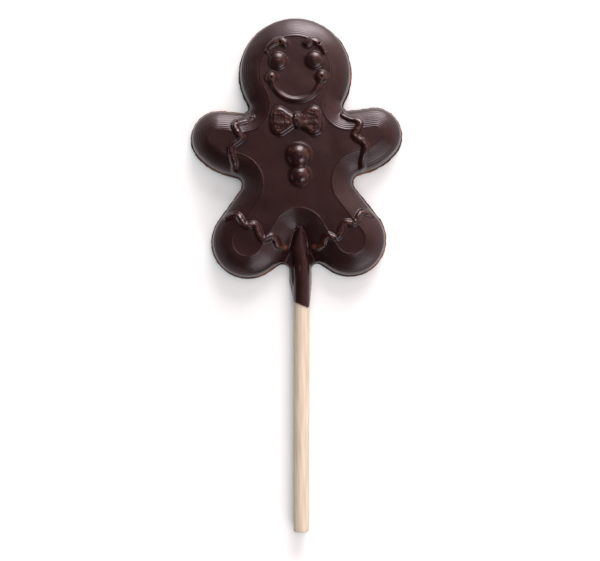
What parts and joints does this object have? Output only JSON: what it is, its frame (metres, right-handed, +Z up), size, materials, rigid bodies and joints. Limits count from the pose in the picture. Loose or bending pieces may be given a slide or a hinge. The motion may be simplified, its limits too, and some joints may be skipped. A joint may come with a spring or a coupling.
{
  "type": "chocolate lollipop",
  "caption": "Dark chocolate lollipop moulded as a gingerbread man with piped cuffs, bow tie and buttons, on a round wooden stick, lying on its flat back.",
  "frame": {"origin": "middle of the whole lollipop, on the surface that it lies on", "axes": "+Z up out of the figure's front, +Y from the stick's free end to the figure's head, +X to the viewer's right"},
  "size_m": [0.0612, 0.1476, 0.0108],
  "materials": {
    "chocolate": "satin dark chocolate, with fine mould lines",
    "stick": "bare pale birch, turned and cut square"
  },
  "bodies": {
    "root": {"chocolate": "chocolate", "stick": "stick"}
  },
  "joints": []
}
